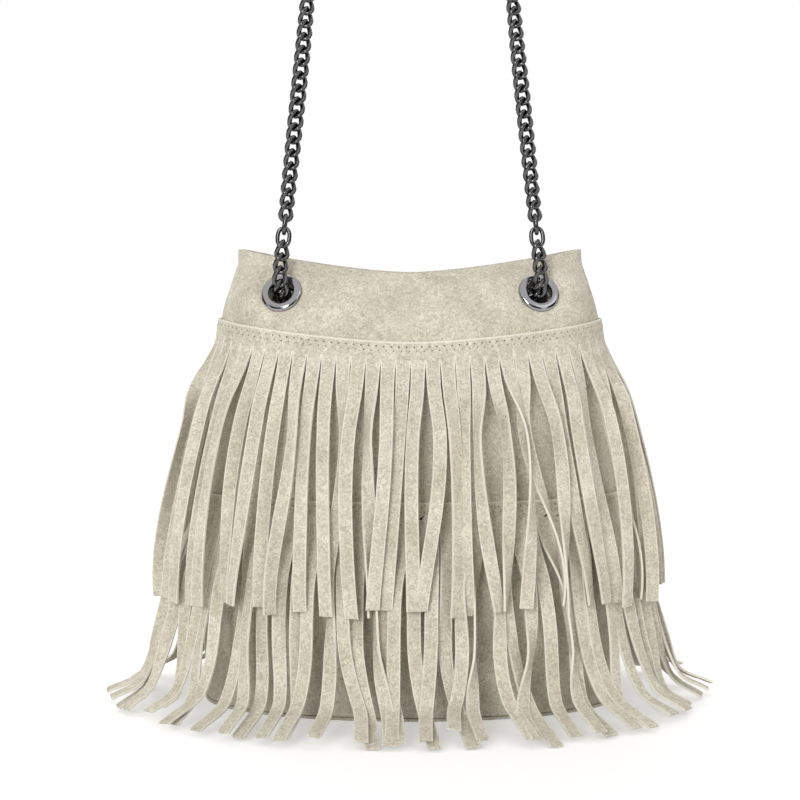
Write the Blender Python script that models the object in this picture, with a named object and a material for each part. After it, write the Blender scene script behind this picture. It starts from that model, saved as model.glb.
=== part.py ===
# Fringed suede bag on a chain.
#
# Two suede panels and a stiff base make a bucket that narrows to a flat mouth. A doubled band goes
# round the mouth and holds four eyelets. Two rows of fringe are sewn on, and the lower one lies out
# over the floor. A twisted curb chain runs through the eyelets and stands up in front as the strap.
#
# The bag stands on Z = 0 with its base centred on the origin. Its front faces -Y.

import random
from math import atan2, cos, pi, radians, sin

import bmesh
import bpy
from mathutils import Vector

mm = 0.001

# Thicknesses and the play left between pieces
SUEDE = 1.3 * mm
BAND = 2 * SUEDE
LINING = 0.6 * mm
BOARD = 2.0 * mm
PLAY = 0.3 * mm
SEWN_PLAY = 0.5 * mm
LINING_PLAY = 1.3 * mm

# Heights above the floor. The top seam dips in the middle, and the mouth is a band's height above it.
TOP_SEAM_SIDE = 211 * mm
TOP_SEAM_DIP = 11 * mm
BAND_TALL_SIDE = 38 * mm
BAND_TALL_MIDDLE = 36 * mm
MOUTH_SLOPE = 7 * mm
TOP_SEAM_MIDDLE = TOP_SEAM_SIDE - TOP_SEAM_DIP
MOUTH_SIDE = TOP_SEAM_SIDE + BAND_TALL_SIDE
MOUTH_MIDDLE = TOP_SEAM_MIDDLE + BAND_TALL_MIDDLE
MOUTH_LEVEL = MOUTH_SIDE - MOUTH_SLOPE
DIP_SHAPE = 1.5
LOW_SEAM = 117 * mm
BELLY_HEIGHT = 85 * mm

# Half widths and half depths of the bag's outside, from the base to the mouth
BASE_WIDE = 113 * mm
BASE_DEEP = 66 * mm
BELLY_WIDE = 118 * mm
BELLY_DEEP = 71 * mm
SEAM_WIDE = 104 * mm
SEAM_DEEP = 50 * mm
MOUTH_WIDE = 95 * mm
MOUTH_DEEP = 16 * mm

# How far the middle of the mouth caves in, and how sharp the corners are at the side seams
CAVE_SEAM = 0.5
CAVE_MOUTH = 3.0
CORNER_BASE = 0.45
CORNER_SEAM = 0.55
CORNER_MOUTH = 0.7

# Body panels end under the fringe's header, and the band goes on from there
LAP = 6 * mm
PANEL_COLUMNS = 14
BODY_ROWS = 4
BASE_PROUD = 1.0 * mm

# Fringes
STRIP_WIDE = 6.4 * mm
HEADER = 12 * mm
UPPER_STRIPS = 34
LOWER_STRIPS = 40
UPPER_TIP = 61 * mm
UPPER_OUT_FRONT = 15 * mm
UPPER_OUT_SIDE = 26 * mm
FLOOR_PLAY = 0.4 * mm
LOWER_FALL = [(10 * mm, 52 * mm), (25 * mm, 5 * mm)]
LOWER_REACH = 50 * mm
SWAY = 4 * mm
SWAY_STRIPS = 15
LOOSE = 0.5 * mm

# Eyelets, set where the band is pressed flat
EYE_ACROSS = 68 * mm
EYE_PAD = 12.5 * mm
EYE_LOW = 0.32
EYE_HIGH = 0.84
EYE_HOLE = 6.6 * mm
EYE_BARREL = 7.4 * mm
EYE_FLANGE = 11.2 * mm
EYE_CROWN = 1.8 * mm
EYE_SEAT = 0.4 * mm
EYE_LIP = 8.7 * mm
WASHER_WIDE = 10.4 * mm
WASHER = 0.8 * mm
EYE_SIDES = 12
MIDDLE_COLUMNS = 6
CORNER_COLUMNS = 4

# Chain
WIRE = 2.1 * mm
LINK_WIDE = 8.7 * mm
LINK_BOW = 5.0 * mm
LINK_STEP = 7.0 * mm
LINK_GAP = 0.5 * mm
LINK_TWIST = radians(45)
STRAP_ROLL = radians(15)
EYE_ROLL_LENGTH = 70 * mm
LINK_CORNERS = 6

# Where the chain goes: the strap's shoulders, its top, and the stretches at and behind the eyelets
STRAP_RISE = 185 * mm
STRAP_ARCH = 42 * mm
STRAP_SHOULDER_ACROSS = 54 * mm
STRAP_TOP_DEPTH = -12 * mm
STRAP_TOP_HEIGHT = MOUTH_SIDE + STRAP_RISE
STRAP_SHOULDER_HEIGHT = STRAP_TOP_HEIGHT - STRAP_ARCH
LEAN_RISE = 22 * mm
CROSSING_DROP = 17 * mm
BACK_RUN_DROP = 8 * mm
BACK_RUN_SAG = 6 * mm
EYE_LEVEL = (TOP_SEAM_SIDE + MOUTH_SIDE) / 2
LEAN_HEIGHT = EYE_LEVEL + LEAN_RISE
CROSSING_HEIGHT = EYE_LEVEL - CROSSING_DROP
BACK_RUN_SIDE = EYE_LEVEL - BACK_RUN_DROP
BACK_RUN_MIDDLE = BACK_RUN_SIDE - BACK_RUN_SAG
BACK_RUN_OUT = 5.4 * mm
BACK_RUN_HALF = 32 * mm
BACK_RUN_SPOTS = [40 * mm, 20 * mm]

# The same near the eyelets, each spot as (out, up, to the middle) from the eyelet's centre
STRAP_FOOT = (8.5 * mm, 9 * mm, 0)
INTO_FRONT = [(6.8 * mm, 5 * mm, 0), (3 * mm, 1.6 * mm, 0), (-4 * mm, 0.6 * mm, 0)]
OUT_OF_BACK = [(-4 * mm, 0, 0), (3 * mm, 0, 1 * mm), (6.6 * mm, -1 * mm, 6 * mm),
               (6.9 * mm, -2 * mm, 13 * mm)]

FRONT = -1
BACK = 1


def clear_scene():
    for thing in list(bpy.data.objects):
        bpy.data.objects.remove(thing)


def finish(name, color, roughness, metallic=0.0):
    """A plain material for one kind of piece."""
    made = bpy.data.materials.new(name)
    made.use_nodes = True
    shader = made.node_tree.nodes["Principled BSDF"]
    shader.inputs["Base Color"].default_value = (*color, 1.0)
    shader.inputs["Roughness"].default_value = roughness
    shader.inputs["Metallic"].default_value = metallic
    return made


def add(name, mesh_maker, material, smooth=False):
    """An object whose mesh is filled by mesh_maker."""
    bm = bmesh.new()
    mesh_maker(bm)
    bmesh.ops.recalc_face_normals(bm, faces=bm.faces[:])
    mesh = bpy.data.meshes.new(name)
    bm.to_mesh(mesh)
    bm.free()
    if smooth:
        mesh.shade_smooth()
        mesh.set_sharp_from_angle(angle=radians(40))
    thing = bpy.data.objects.new(name, mesh)
    thing.data.materials.append(material)
    bpy.context.scene.collection.objects.link(thing)
    return thing


def hide_cutter(thing):
    thing.hide_render = True
    thing.display_type = "WIRE"


def between(height, heights, values):
    """Smooth curve through the values at the given heights."""
    last = len(heights) - 1

    def slope(i):
        low, high = max(i - 1, 0), min(i + 1, last)
        return (values[high] - values[low]) / (heights[high] - heights[low])

    height = min(max(height, heights[0]), heights[last])
    i = max(k for k in range(last) if heights[k] <= height)
    span = heights[i + 1] - heights[i]
    s = (height - heights[i]) / span
    return ((2 * s**3 - 3 * s**2 + 1) * values[i]
            + (s**3 - 2 * s**2 + s) * span * slope(i)
            + (3 * s**2 - 2 * s**3) * values[i + 1]
            + (s**3 - s**2) * span * slope(i + 1))


STATIONS = [0, BELLY_HEIGHT, TOP_SEAM_SIDE, MOUTH_LEVEL]


def section(turn, height, side):
    """Point of the bag's outside: turn runs from -90 to 90 degrees from one side seam to the other."""
    wide = between(height, STATIONS, [BASE_WIDE, BELLY_WIDE, SEAM_WIDE, MOUTH_WIDE])
    deep = between(height, STATIONS, [BASE_DEEP, BELLY_DEEP, SEAM_DEEP, MOUTH_DEEP])
    cave = between(height, STATIONS, [0, 0, CAVE_SEAM, CAVE_MOUTH])
    corner = between(height, STATIONS, [CORNER_BASE, CORNER_BASE, CORNER_SEAM, CORNER_MOUTH])
    across = sin(turn)
    depth = deep * (1 + cave * across**2) * max(cos(turn), 0) ** (2 * corner)
    return Vector((wide * across, side * depth, height))


def outward(turn, height, side):
    """Level direction that points away from the bag there."""
    step = radians(0.5)
    turn = min(max(turn, radians(-88)), radians(88))
    along = section(turn + step, height, side) - section(turn - step, height, side)
    return Vector((along.y, -along.x, 0)).normalized() * -side


def wrap(turn, height, side, out):
    """Point at a distance out from the bag's outside, kept on its own side of the side seams."""
    point = section(turn, height, side) + outward(turn, height, side) * out
    point.y = side * max(side * point.y, PLAY / 2)
    return point


def dip(turn, middle, at_side):
    return middle + (at_side - middle) * abs(sin(turn)) ** DIP_SHAPE


def mouth(turn):
    return dip(turn, MOUTH_MIDDLE, MOUTH_SIDE)


def top_seam(turn):
    return dip(turn, TOP_SEAM_MIDDLE, TOP_SEAM_SIDE)


def even_turns(count, line, side):
    """Turns that part a seam line into equal lengths."""
    fine = 720
    turns = [-pi / 2 + pi * i / fine for i in range(fine + 1)]
    spots = [section(t, line(t), side) for t in turns]
    run = [0.0]
    for a, b in zip(spots, spots[1:]):
        run.append(run[-1] + (b - a).length)
    found = []
    for k in range(count + 1):
        goal = run[-1] * k / count
        i = next(i for i in range(1, fine + 1) if run[i] >= goal - 1e-9)
        share = (goal - run[i - 1]) / (run[i] - run[i - 1])
        found.append(turns[i - 1] + (turns[i] - turns[i - 1]) * share)
    return found


def slab(bm, outer_rows, inner_rows):
    """A closed sheet between two grids of points with the same rows and columns."""
    outer = [[bm.verts.new(p) for p in row] for row in outer_rows]
    inner = [[bm.verts.new(p) for p in row] for row in inner_rows]
    rows, columns = len(outer) - 1, len(outer[0]) - 1
    for grid in (outer, inner):
        for j in range(rows):
            for i in range(columns):
                bm.faces.new((grid[j][i], grid[j][i + 1], grid[j + 1][i + 1], grid[j + 1][i]))
    for i in range(columns):
        for j in (0, rows):
            bm.faces.new((outer[j][i], outer[j][i + 1], inner[j][i + 1], inner[j][i]))
    for j in range(rows):
        for i in (0, columns):
            bm.faces.new((outer[j][i], outer[j + 1][i], inner[j + 1][i], inner[j][i]))


PANEL_TURNS = [-pi / 2 + pi * i / PANEL_COLUMNS for i in range(PANEL_COLUMNS + 1)]
BODY_FOOT = SUEDE + PLAY


def body_heights(turn, foot):
    """Heights of the body's rows at one column, from its foot to its edge under the header."""
    top = top_seam(turn) - LAP
    return [foot + (top - foot) * j / BODY_ROWS for j in range(BODY_ROWS + 1)]


def body_grid(side, out, foot):
    columns = [[wrap(t, z, side, out) for z in body_heights(t, foot)] for t in PANEL_TURNS]
    return [list(row) for row in zip(*columns)]


def body_panel(name, side, suede):
    add(name, lambda bm: slab(bm, body_grid(side, 0, BODY_FOOT), body_grid(side, -SUEDE, BODY_FOOT)),
        suede)


def eye_turn(height):
    """Turns of the two edges of the flat that the eyelet presses into the band."""
    wide = between(height, STATIONS, [BASE_WIDE, BELLY_WIDE, SEAM_WIDE, MOUTH_WIDE])
    sine = [(EYE_ACROSS + k * EYE_PAD) / wide for k in (-1, 1)]
    return [atan2(s, (1 - s * s) ** 0.5) for s in sine]


def band_turns():
    """The band's columns: even between the eyelets, one flat at each eyelet, even to the corners."""
    near, far = eye_turn(EYE_LEVEL)
    middle = [-near + 2 * near * i / MIDDLE_COLUMNS for i in range(MIDDLE_COLUMNS + 1)]
    corner = [far + (pi / 2 - far) * i / CORNER_COLUMNS for i in range(CORNER_COLUMNS + 1)]
    return [-t for t in reversed(corner)] + middle + corner


def band_grid(side, out):
    columns = []
    for turn in band_turns():
        foot = top_seam(turn) - LAP + PLAY
        rise = mouth(turn) - foot
        columns.append([wrap(turn, foot + rise * f, side, out) for f in (0, EYE_LOW, EYE_HIGH, 1)])
    return [list(row) for row in zip(*columns)]


def flat_spots(hand):
    """Row and column of the four corners of one eyelet's flat in the band's grid."""
    i = CORNER_COLUMNS if hand < 0 else CORNER_COLUMNS + 1 + MIDDLE_COLUMNS
    return [(1, i), (1, i + 1), (2, i + 1), (2, i)]


def band_rows(side, eyes):
    """The band's outer and inner grids, flat where the eyelets are pressed in."""
    outer, inner = band_grid(side, 0), band_grid(side, -BAND)
    for hand, eye in eyes.items():
        for j, i in flat_spots(hand):
            off = (outer[j][i] - eye.centre).dot(eye.normal)
            outer[j][i] -= eye.normal * off
            inner[j][i] = outer[j][i] - eye.normal * BAND
    return outer, inner


class Eye:
    """Place of one eyelet: centre on the band's outside, outward normal, and up and across in its plane."""

    def __init__(self, side, hand):
        grid = band_grid(side, 0)
        a, b, c, d = (grid[j][i] for j, i in flat_spots(hand))
        self.centre = (a + b + c + d) / 4
        self.normal = (c - a).cross(d - b).normalized()
        if self.normal.y * side < 0:
            self.normal.negate()
        level = Vector((0, 0, 1))
        self.up = (level - self.normal * level.dot(self.normal)).normalized()
        self.middle = Vector((-hand, 0, 0))
        self.middle = (self.middle - self.normal * self.middle.dot(self.normal)).normalized()

    def at(self, out, up=0.0, to_middle=0.0):
        return self.centre + self.normal * out + self.up * up + self.middle * to_middle


def spun(bm, eye, profile):
    """A ring turned about the eyelet's axis from a closed outline of (radius, height out)."""
    verts = [bm.verts.new(eye.at(out, up=radius)) for radius, out in profile]
    edges = [bm.edges.new((verts[i - 1], verts[i])) for i in range(len(verts))]
    bmesh.ops.spin(bm, geom=verts + edges, cent=eye.centre, axis=eye.normal, angle=2 * pi,
                   steps=EYE_SIDES, use_merge=True)


def eyelet(name, eye, metal):
    washer_top = -BAND - 2 * EYE_SEAT
    lip = washer_top - WASHER - PLAY
    outline = [
        (EYE_HOLE, lip - EYE_SEAT), (EYE_HOLE, EYE_CROWN * 0.7),
        ((EYE_HOLE + EYE_FLANGE) / 2, EYE_SEAT + EYE_CROWN), (EYE_FLANGE, EYE_SEAT),
        (EYE_BARREL, EYE_SEAT), (EYE_BARREL, lip), (EYE_LIP, lip - EYE_SEAT),
    ]
    add(name, lambda bm: spun(bm, eye, outline), metal, smooth=True)


def washer(name, eye, metal):
    top = -BAND - 2 * EYE_SEAT
    inner = EYE_BARREL + PLAY
    outline = [(inner, top), (WASHER_WIDE, top), (WASHER_WIDE, top - WASHER), (inner, top - WASHER)]
    add(name, lambda bm: spun(bm, eye, outline), metal, smooth=True)


def eye_cutter(name, eye, metal):
    radius = EYE_BARREL + PLAY
    reach = 3 * BAND
    outline = [(0, reach), (radius, reach), (radius, -reach), (0, -reach)]

    def plug(bm):
        verts = [bm.verts.new(eye.at(out, up=r)) for r, out in outline]
        edges = [bm.edges.new(pair) for pair in zip(verts, verts[1:])]
        bmesh.ops.spin(bm, geom=verts + edges, cent=eye.centre, axis=eye.normal, angle=2 * pi,
                       steps=EYE_SIDES, use_merge=True)
        bmesh.ops.remove_doubles(bm, verts=bm.verts[:], dist=0.01 * mm)

    cutter = add(name, plug, metal)
    hide_cutter(cutter)
    return cutter


def band(name, side, eyes, suede, metal):
    made = add(name, lambda bm: slab(bm, *band_rows(side, eyes)), suede)
    for hand, eye in eyes.items():
        cut = made.modifiers.new("eyelet hole", "BOOLEAN")
        cut.operation = "DIFFERENCE"
        cut.object = eye_cutter(f"{name}_cutter_{hand}", eye, metal)


def outline_at(height, out):
    """Closed outline of the bag at one height, front then back."""
    front = [wrap(t, height, FRONT, out) for t in PANEL_TURNS]
    back = [wrap(t, height, BACK, out) for t in reversed(PANEL_TURNS)]
    return front + back


def plate(name, foot, thick, outline_height, out, material):
    """A flat plate with the bag's outline."""
    def fill(bm):
        points = outline_at(outline_height, out)
        face = bm.faces.new([bm.verts.new((p.x, p.y, foot)) for p in points])
        grown = bmesh.ops.extrude_face_region(bm, geom=[face])
        top = [v for v in grown["geom"] if isinstance(v, bmesh.types.BMVert)]
        bmesh.ops.translate(bm, verts=top, vec=(0, 0, thick))

    add(name, fill, material)


def lining_cup(name, foot, cloth):
    """A thin cup just inside the body panels, open at the top."""
    out = -SUEDE - LINING_PLAY

    def ring(bm, j, out, foot):
        points = []
        for side, turns in ((FRONT, PANEL_TURNS[::2]), (BACK, PANEL_TURNS[::-2])):
            points += [wrap(t, body_heights(t, foot)[j], side, out) for t in turns]
        return [bm.verts.new(p) for p in points]

    def fill(bm):
        walls = []
        for out_now, foot_now in ((out, foot), (out - LINING, foot + LINING)):
            rings = [ring(bm, j, out_now, foot_now) for j in range(BODY_ROWS + 1)]
            bm.faces.new(rings[0])
            for low, high in zip(rings, rings[1:]):
                for i in range(len(low)):
                    bm.faces.new((low[i - 1], low[i], high[i], high[i - 1]))
            walls.append(rings[-1])
        for i in range(len(walls[0])):
            bm.faces.new((walls[0][i - 1], walls[0][i], walls[1][i], walls[1][i - 1]))

    add(name, fill, cloth)


def sway_of(count, seed):
    """Sideways drift of each strip's tip: a slow wave along the row, with a little of its own."""
    rng = random.Random(seed)
    start = rng.uniform(0, 2 * pi)
    return [SWAY * sin(start + 2 * pi * i / SWAY_STRIPS) + rng.uniform(-LOOSE, LOOSE)
            for i in range(count)]


def fringe(name, side, count, line, rows_of, seed, suede):
    """A header with strips cut into it. rows_of gives each strip's falling (out, height) rows."""
    turns = even_turns(count, line, side)
    sway = sway_of(count, seed)

    def fill(bm):
        top = [bm.verts.new(wrap(t, line(t), side, SEWN_PLAY)) for t in turns]
        cut = [bm.verts.new(wrap(t, line(t) - HEADER, side, SEWN_PLAY)) for t in turns]
        for i in range(count):
            bm.faces.new((top[i], cut[i], cut[i + 1], top[i + 1]))
            turn = (turns[i] + turns[i + 1]) / 2
            rows = rows_of(i, turn)
            above = (cut[i], cut[i + 1])
            for number, (out, height) in enumerate(rows, 1):
                centre = wrap(turn, height, side, out)
                across = outward(turn, height, side).cross(Vector((0, 0, side))).normalized()
                if across.dot(above[1].co - above[0].co) < 0:
                    across.negate()
                centre += across * sway[i] * (number / len(rows)) ** 1.5
                half = across * STRIP_WIDE / 2
                below = (bm.verts.new(centre - half), bm.verts.new(centre + half))
                bm.faces.new((above[0], below[0], below[1], above[1]))
                above = below

    made = add(name, fill, suede)
    thick = made.modifiers.new("suede", "SOLIDIFY")
    thick.thickness = SUEDE
    thick.offset = 1.0
    thick.use_even_offset = True


def upper_rows(seed):
    rng = random.Random(seed)
    uneven = [rng.uniform(-3, 3) * mm for _ in range(UPPER_STRIPS)]

    def rows(i, turn):
        cut = top_seam(turn) - HEADER
        tip = UPPER_TIP + uneven[i]
        reach = UPPER_OUT_FRONT + (UPPER_OUT_SIDE - UPPER_OUT_FRONT) * sin(turn) ** 2
        half_way = (cut + tip) / 2
        return [(SEWN_PLAY + reach * 0.62, half_way), (reach, tip)]

    return rows


def lower_rows(seed):
    rng = random.Random(seed)
    uneven = [rng.uniform(-4, 4) * mm for _ in range(LOWER_STRIPS)]

    def rows(i, turn):
        return LOWER_FALL + [(LOWER_REACH + uneven[i], FLOOR_PLAY)]

    return rows


def curve_through(points, closed):
    """Fine points of a smooth curve through the given ones."""
    fine = 24
    count = len(points)
    spans = count if closed else count - 1

    def pick(i):
        return points[i % count] if closed else points[min(max(i, 0), count - 1)]

    found = []
    for i in range(spans):
        a, b, c, d = pick(i - 1), pick(i), pick(i + 1), pick(i + 2)
        ab, bc, cd = ((q - p).length ** 0.5 or 1e-6 for p, q in ((a, b), (b, c), (c, d)))
        for k in range(fine):
            t = k / fine * bc
            ab_t = a + (b - a) * (t + ab) / ab
            bc_t = b + (c - b) * t / bc
            cd_t = c + (d - c) * (t - bc) / cd
            left = ab_t + (bc_t - ab_t) * (t + ab) / (ab + bc)
            right = bc_t + (cd_t - bc_t) * t / (bc + cd)
            found.append(left + (right - left) * t / bc)
    return found


def chain_route(eyes):
    """The closed way of the whole chain, from the strap's top down the left side and round."""
    def half(hand):
        front, back = eyes[FRONT][hand], eyes[BACK][hand]
        foot = front.at(*STRAP_FOOT)
        lean = (STRAP_TOP_DEPTH - foot.y) / (STRAP_TOP_HEIGHT - foot.z)

        def on_strap(across, height):
            return Vector((hand * across, foot.y + lean * (height - foot.z), height))

        rise = STRAP_TOP_HEIGHT - STRAP_SHOULDER_HEIGHT
        arch = [on_strap(STRAP_SHOULDER_ACROSS * sin(radians(a)),
                         STRAP_SHOULDER_HEIGHT + rise * cos(radians(a))) for a in range(18, 91, 18)]
        foot_across = abs(foot.x)
        run = [on_strap(STRAP_SHOULDER_ACROSS + (foot_across - STRAP_SHOULDER_ACROSS) * s,
                        STRAP_SHOULDER_HEIGHT + (foot.z - STRAP_SHOULDER_HEIGHT) * s)
               for s in (0.25, 0.5, 0.75, 0.92)]
        through = [front.at(*spot) for spot in INTO_FRONT]
        through.append(Vector((front.centre.x, 0, CROSSING_HEIGHT)))
        through += [back.at(*spot) for spot in OUT_OF_BACK]
        behind = []
        for across in BACK_RUN_SPOTS:
            s = across / EYE_ACROSS
            height = BACK_RUN_MIDDLE + (BACK_RUN_SIDE - BACK_RUN_MIDDLE) * s * s
            wide = between(height, STATIONS, [BASE_WIDE, BELLY_WIDE, SEAM_WIDE, MOUTH_WIDE])
            turn = hand * atan2(across, (wide**2 - across**2) ** 0.5)
            behind.append(wrap(turn, height, BACK, BACK_RUN_OUT))
        return arch + run + through + behind

    top = Vector((0, STRAP_TOP_DEPTH, STRAP_TOP_HEIGHT))
    low = wrap(0, BACK_RUN_MIDDLE, BACK, BACK_RUN_OUT)
    return curve_through([top] + half(-1) + [low] + half(1)[::-1], closed=True)


class Way:
    """A closed curve measured by its length, with the direction that the chain's width lies in.

    The width turns with the curve as little as it can, and then by a roll, given as (distance, angle)
    for the first half and turned the other way in the second.
    """

    def __init__(self, points, across):
        self.rolls = [(0, 0)]
        self.points = points + [points[0]]
        self.run = [0.0]
        for a, b in zip(self.points, self.points[1:]):
            self.run.append(self.run[-1] + (b - a).length)
        self.across = []
        for a, b in zip(self.points, self.points[1:]):
            along = (b - a).normalized()
            across = (across - along * across.dot(along)).normalized()
            self.across.append(across)

    def length(self):
        return self.run[-1]

    def at(self, distance):
        distance %= self.length()
        i = next(i for i in range(len(self.points) - 1) if self.run[i + 1] >= distance)
        share = (distance - self.run[i]) / (self.run[i + 1] - self.run[i])
        along = (self.points[i + 1] - self.points[i]).normalized()
        across, roll = self.across[i], self.roll(distance)
        return (self.points[i].lerp(self.points[i + 1], share),
                across * cos(roll) + along.cross(across) * sin(roll))

    def roll(self, distance):
        if distance > self.length() / 2:
            return -self.roll(self.length() - distance)
        marks = self.rolls + [(self.length() / 2, 0)]
        i = next(i for i in range(len(marks) - 1) if marks[i + 1][0] >= distance)
        (start, low), (end, high) = marks[i], marks[i + 1]
        return low + (high - low) * (1 - cos(pi * (distance - start) / (end - start))) / 2


# The wire is square in section, with the area of the round one. Links keep a gap where they cross,
# and inside one run a short neck joins them there, so that the run is one body.
WIRE_FLAT = 0.44 * WIRE
LINK_REACH = (LINK_STEP + LINK_GAP) / 2 + WIRE_FLAT
PLUS_BOW = (-1, 0)
MINUS_BOW = (LINK_CORNERS // 2 - 1, LINK_CORNERS // 2)
INNER_FLAT = (1, 2)


def link_rings(bm, way, place, flat=None):
    """Square rings of wire round one curb link with its middle at a distance along the way.

    The link is twisted, or, where the chain turns on it, flat with its bows in the given direction.
    """
    centre, across = way.at(place)
    along = (way.at(place + LINK_REACH / 2)[0] - way.at(place - LINK_REACH / 2)[0]).normalized()
    across = flat or across
    across = (across - along * across.dot(along)).normalized()
    side = along.cross(across)
    twist = 0 if flat else LINK_TWIST
    spine = []
    for k in range(LINK_CORNERS):
        a = 2 * pi * (k + 0.5) / LINK_CORNERS
        to_bow = cos(a) / cos(pi / LINK_CORNERS)
        width = LINK_WIDE / 2 - WIRE_FLAT if abs(to_bow) < 0.5 else LINK_BOW / 2
        arm = across * cos(twist * to_bow) + side * sin(twist * to_bow)
        spine.append(centre + along * (LINK_REACH * to_bow) + arm * width * (1 if a < pi else -1))
    rings = []
    for k in range(LINK_CORNERS):
        before, here, after = spine[k - 1], spine[k], spine[(k + 1) % LINK_CORNERS]
        forward = (after - before).normalized()
        out = here - centre
        out = (out - forward * out.dot(forward)).normalized()
        flank = forward.cross(out)
        corners = [pi / 4 + pi / 2 * m for m in range(4)]
        radius = WIRE_FLAT * 2 ** 0.5
        rings.append([bm.verts.new(here + (out * cos(b) + flank * sin(b)) * radius) for b in corners])
    return rings


def bow_flat(rings, bow):
    """The four corners of the flat on the inside of one bow."""
    return [rings[k][m] for k in bow for m in INNER_FLAT]


def wire_faces(bm, rings, left_open):
    """The link's faces, apart from the bow flats that a neck takes the place of."""
    for k in range(LINK_CORNERS):
        for m in range(4):
            face = (rings[k - 1][m - 1], rings[k - 1][m], rings[k][m], rings[k][m - 1])
            if not any(set(face) == set(corners) for corners in left_open):
                bm.faces.new(face)


def neck(bm, one, other):
    """Four faces between the bow flats of two links that cross."""
    middle = sum((vert.co for vert in one), Vector()) / 4
    along = (sum((vert.co for vert in other), Vector()) / 4 - middle).normalized()
    arm = (one[0].co + one[1].co - one[2].co - one[3].co).normalized()
    flank = along.cross(arm)

    def bearing(vert):
        return atan2((vert.co - middle).dot(flank), (vert.co - middle).dot(arm))

    one, other = sorted(one, key=bearing), sorted(other, key=bearing)
    for i in range(4):
        bm.faces.new((one[i - 1], one[i], other[i], other[i - 1]))


def chain_run(name, way, places, metal, first=None, last=None):
    """Links in one row, joined to one body. An end link that the chain turns on is flat."""
    def fill(bm):
        flats = [first] + [None] * (len(places) - 2) + [last]
        links = [link_rings(bm, way, place, flat) for place, flat in zip(places, flats)]
        for i, rings in enumerate(links):
            left_open = []
            if i + 1 < len(links):
                left_open.append(bow_flat(rings, PLUS_BOW))
                neck(bm, left_open[-1], bow_flat(links[i + 1], MINUS_BOW))
            if i > 0:
                left_open.append(bow_flat(rings, MINUS_BOW))
            wire_faces(bm, rings, left_open)

    add(name, fill, metal)


def chain(way, metal):
    """The whole chain in six runs, which part where the strap turns and behind the bag."""
    half = way.length() / 2
    total = 2 * round(half / LINK_STEP)
    step = way.length() / total

    def links_above(height):
        count = 0
        while way.at((count + 1) * step)[0].z > height:
            count += 1
        return count

    ends = [0, links_above(STRAP_SHOULDER_HEIGHT), links_above(LEAN_HEIGHT),
            total // 2 - round(BACK_RUN_HALF / step), total // 2]
    fold, lean = (end * step for end in ends[1:3])
    way.rolls = [(0, 0), (fold, -LINK_TWIST), ((fold + lean) / 2, -STRAP_ROLL), (lean, -LINK_TWIST),
                 (lean + EYE_ROLL_LENGTH, 0)]
    stretches = [[step * (i + 0.5) for i in range(a, b)] for a, b in zip(ends, ends[1:])]
    mirrored = [[way.length() - place for place in reversed(run)] for run in stretches]
    above_top = [place + way.length() for place in stretches[0]]
    pin, ring = Vector((1, 0, 0)), Vector((0, 1, 0))
    chain_run("strap_top", way, mirrored[0] + above_top, metal, ring, ring)
    chain_run("strap_left", way, stretches[1], metal, pin, ring)
    chain_run("strap_right", way, mirrored[1], metal, ring, pin)
    chain_run("chain_left", way, stretches[2], metal, first=pin)
    chain_run("chain_right", way, mirrored[2], metal, last=pin)
    chain_run("chain_back", way, stretches[3] + mirrored[3], metal)


def build():
    clear_scene()
    suede = finish("suede", (0.66, 0.60, 0.48), 0.95)
    lining = finish("lining", (0.52, 0.47, 0.38), 0.9)
    board = finish("board", (0.45, 0.42, 0.36), 0.9)
    eyelet_metal = finish("eyelet_metal", (0.42, 0.41, 0.42), 0.18, 1.0)
    chain_metal = finish("chain_metal", (0.10, 0.10, 0.105), 0.28, 1.0)

    eyes = {side: {hand: Eye(side, hand) for hand in (-1, 1)} for side in (FRONT, BACK)}
    for side, where in ((FRONT, "front"), (BACK, "back")):
        body_panel(f"body_{where}", side, suede)
        band(f"band_{where}", side, eyes[side], suede, eyelet_metal)
        fringe(f"fringe_upper_{where}", side, UPPER_STRIPS, top_seam, upper_rows(side + 5), side + 11,
               suede)
        fringe(f"fringe_lower_{where}", side, LOWER_STRIPS, lambda turn: LOW_SEAM, lower_rows(side + 7),
               side + 17, suede)
        for hand, word in ((-1, "left"), (1, "right")):
            eyelet(f"eyelet_{where}_{word}", eyes[side][hand], eyelet_metal)
            washer(f"washer_{where}_{word}", eyes[side][hand], eyelet_metal)

    plate("base_panel", 0, SUEDE, 0, BASE_PROUD, suede)
    plate("base_board", BODY_FOOT, BOARD, BODY_FOOT, -SUEDE - SEWN_PLAY, board)
    lining_cup("lining", BODY_FOOT + BOARD + PLAY, lining)

    route = chain_route(eyes)
    chain(Way(route, route[0] - (route[1] + route[-1]) / 2), chain_metal)


build()
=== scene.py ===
# Fringed suede bag on a chain, dressed for its picture.
#
# The bag is put together as its maker would: base, body, lining, band, eyelets, the two fringes with
# their stitching, and last the chain. Metres, +Z up, the front faces -Y.

import random
from math import atan2, cos, hypot, pi, radians, sin

import bmesh
import bpy
from mathutils import Matrix, Vector, noise


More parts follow.
